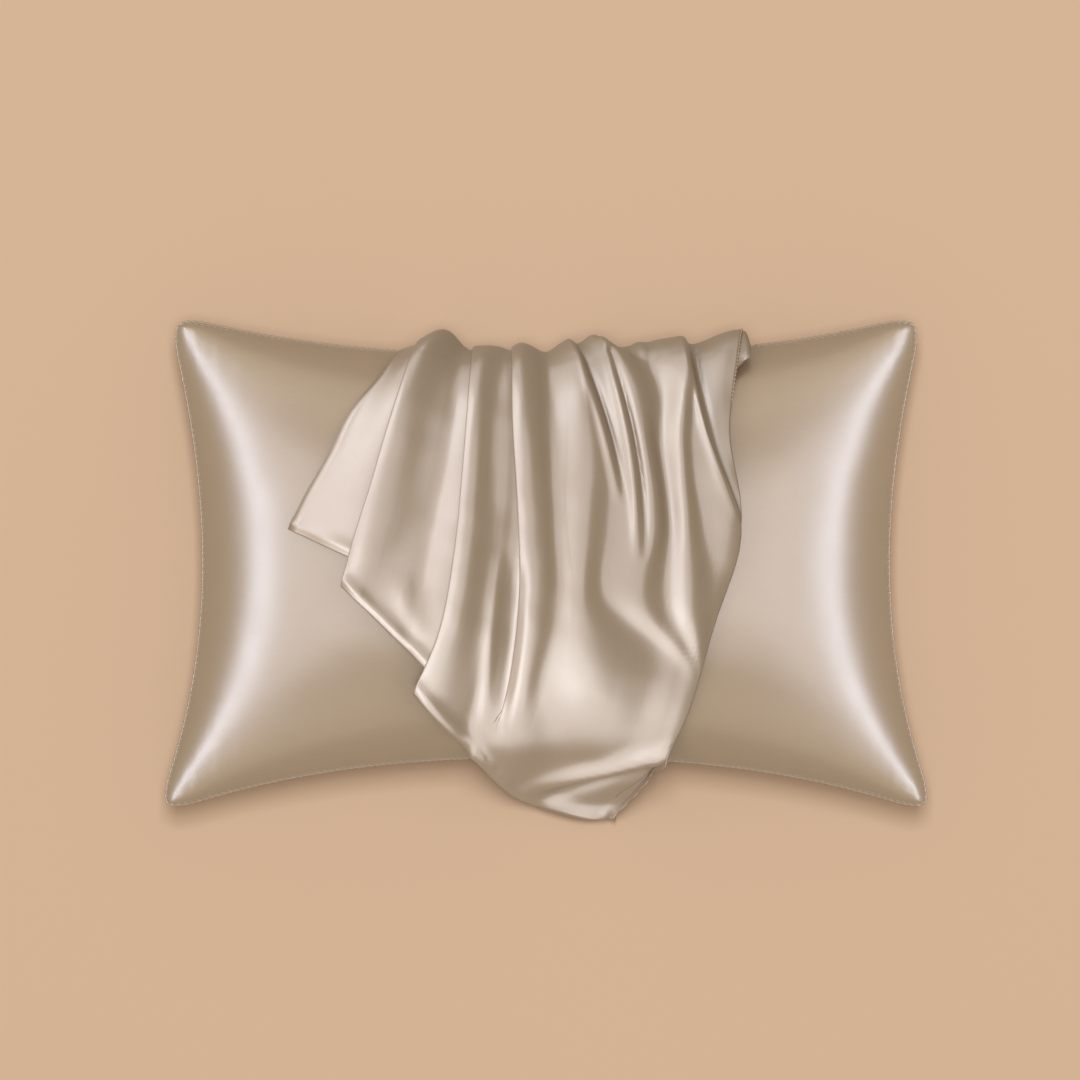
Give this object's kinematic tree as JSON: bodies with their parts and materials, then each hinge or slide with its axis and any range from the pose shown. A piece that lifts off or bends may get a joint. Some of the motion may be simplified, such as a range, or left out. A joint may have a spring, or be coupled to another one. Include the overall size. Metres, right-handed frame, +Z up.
{
  "type": "pillowcase draped over a pillow",
  "caption": "Satin pillowcase lying in soft fanned pleats over a filled pillow in a matching case, its open end at one side.",
  "frame": {"origin": "centre of the pillow's flat base, on the surface that it rests on", "axes": "+X along the pillow's length, towards the open end of the loose case; +Y towards the long side that the loose case hangs over; +Z up"},
  "size_m": [0.7648, 0.5018, 0.1859],
  "materials": {
    "pillow_satin": "smooth champagne satin with a soft broad sheen",
    "loose_satin": "smooth champagne satin with a soft broad sheen"
  },
  "bodies": {
    "root": {"filled_pillow": "pillow_satin", "loose_pillowcase": "loose_satin"}
  },
  "joints": []
}
